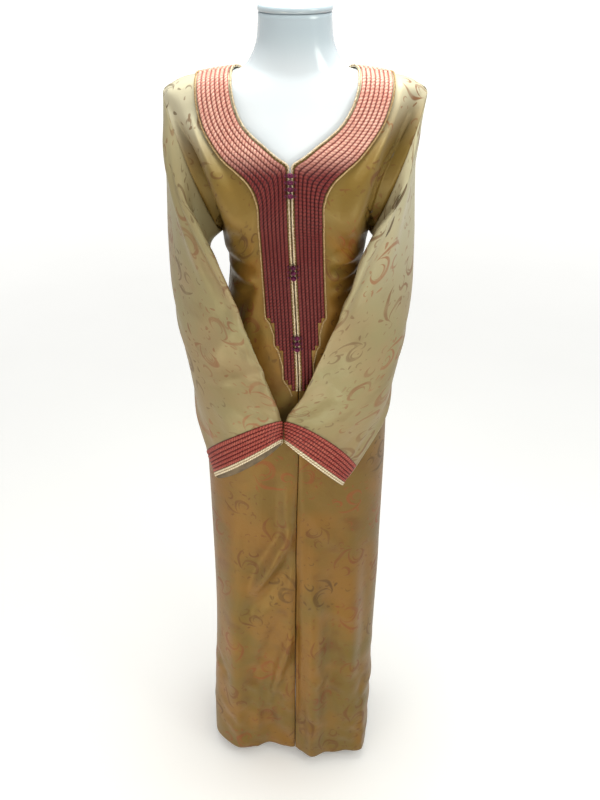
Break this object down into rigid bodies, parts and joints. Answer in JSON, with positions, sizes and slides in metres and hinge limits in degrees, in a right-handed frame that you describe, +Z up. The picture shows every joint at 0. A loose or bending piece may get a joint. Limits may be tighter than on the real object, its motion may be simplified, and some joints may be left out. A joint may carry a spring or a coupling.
{
  "type": "kaftan on dress form",
  "caption": "Long kaftan with flared sleeves and a braided plastron, worn by a limbless dress form that holds it up and open on a stand.",
  "frame": {"origin": "on the floor under the form's pole, at the underside of the stand base", "axes": "+Z up the pole, the kaftan's front towards -Y, the wearer's left at +X"},
  "size_m": [0.4316, 0.3464, 1.577],
  "materials": {
    "satin": "satin brocade",
    "braid": "silk cord",
    "gold": "metallic thread",
    "knots": "silk cord",
    "form": "glossy",
    "stand": "brushed"
  },
  "bodies": {
    "root": {"front_right": "satin", "front_left": "satin", "back": "satin", "sleeve_right": "satin", "sleeve_left": "satin", "braid_front_right": "braid", "braid_front_left": "braid", "braid_back_neck": "braid", "cuff_braid_right": "braid", "cuff_braid_left": "braid", "edge_cord": "gold", "piping": "gold", "cuff_edge_right": "gold", "cuff_edge_left": "gold", "button_1_1": "knots", "button_1_2": "knots", "button_1_3": "knots", "button_1_4": "knots", "button_2_1": "knots", "button_2_2": "knots", "button_2_3": "knots", "button_3_1": "knots", "button_3_2": "knots", "button_3_3": "knots", "form_torso": "form", "form_neck_cap": "form", "stand_base": "stand", "stand_pole": "stand", "stand_collar": "stand"}
  },
  "joints": []
}
